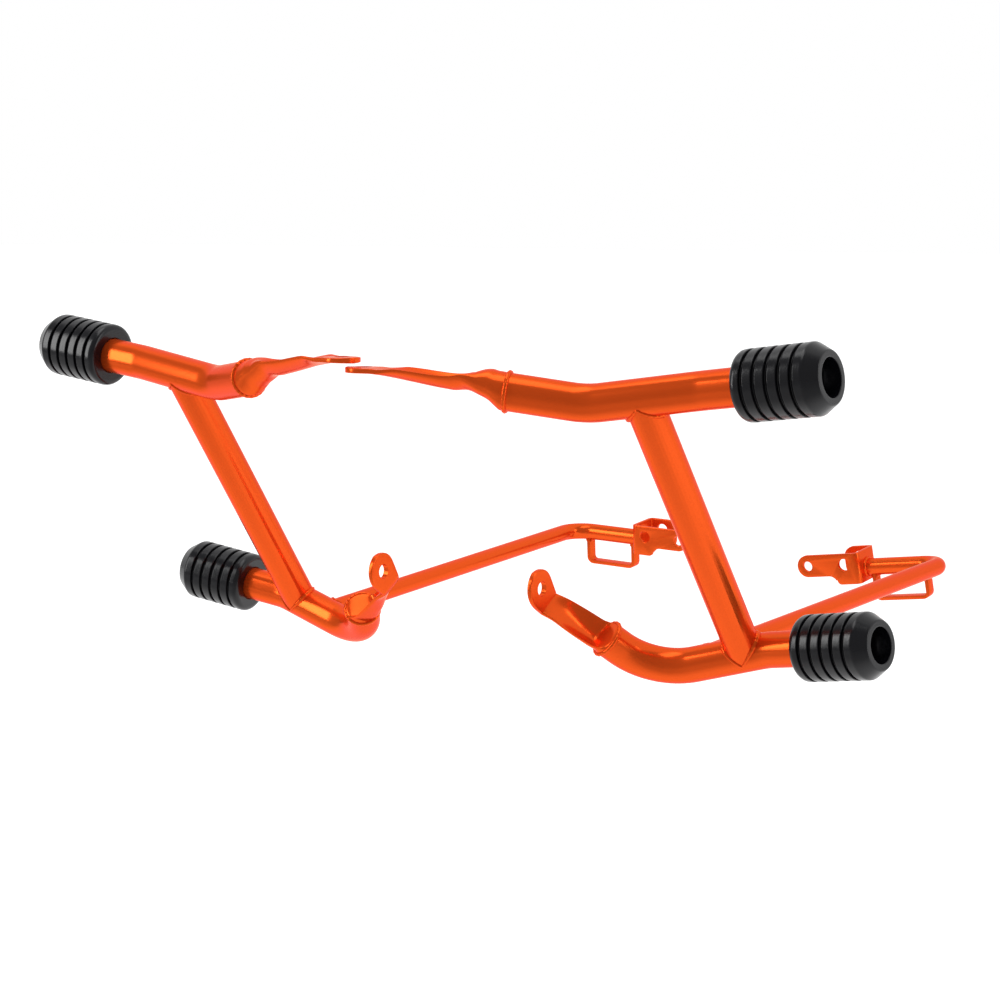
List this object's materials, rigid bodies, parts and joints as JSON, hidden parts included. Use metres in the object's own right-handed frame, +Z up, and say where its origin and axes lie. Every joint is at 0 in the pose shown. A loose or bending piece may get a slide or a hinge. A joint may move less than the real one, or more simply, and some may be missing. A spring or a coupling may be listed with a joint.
{
  "type": "motorcycle crash bars",
  "caption": "Pair of bent steel tube engine guards with welded struts, flattened bolt-on tongues, long rear arms with folded brackets, and ribbed plastic sliders.",
  "frame": {"origin": "centre of the pair's bounding box, on the motorcycle's middle plane", "axes": "+X to the right half across the motorcycle, -Y towards the front where the two upper tongues meet, +Z up, as mounted"},
  "size_m": [0.6504, 0.575, 0.2481],
  "materials": {
    "powder_coat": "glossy orange powder coat over steel",
    "slider_plastic": "turned black plastic, satin",
    "zinc_steel": "dull zinc plating"
  },
  "bodies": {
    "root": {"right_upper_tube": "powder_coat", "right_lower_tube": "powder_coat", "right_strut": "powder_coat", "right_rear_arm": "powder_coat", "right_upper_tongue": "powder_coat", "right_lower_tongue": "powder_coat", "right_rear_bracket": "powder_coat", "right_guide_loop": "powder_coat", "right_upper_slider": "slider_plastic", "right_lower_slider": "slider_plastic", "right_slider_bolts": "zinc_steel", "right_slider_washers": "zinc_steel", "right_tube_plugs": "zinc_steel", "right_tongue_welds": "powder_coat", "right_strut_welds": "powder_coat", "right_arm_welds": "powder_coat", "right_loop_welds": "powder_coat", "left_upper_tube": "powder_coat", "left_lower_tube": "powder_coat", "left_strut": "powder_coat", "left_rear_arm": "powder_coat", "left_upper_tongue": "powder_coat", "left_lower_tongue": "powder_coat", "left_rear_bracket": "powder_coat", "left_guide_loop": "powder_coat", "left_upper_slider": "slider_plastic", "left_lower_slider": "slider_plastic", "left_slider_bolts": "zinc_steel", "left_slider_washers": "zinc_steel", "left_tube_plugs": "zinc_steel", "left_tongue_welds": "powder_coat", "left_strut_welds": "powder_coat", "left_arm_welds": "powder_coat", "left_loop_welds": "powder_coat"}
  },
  "joints": []
}
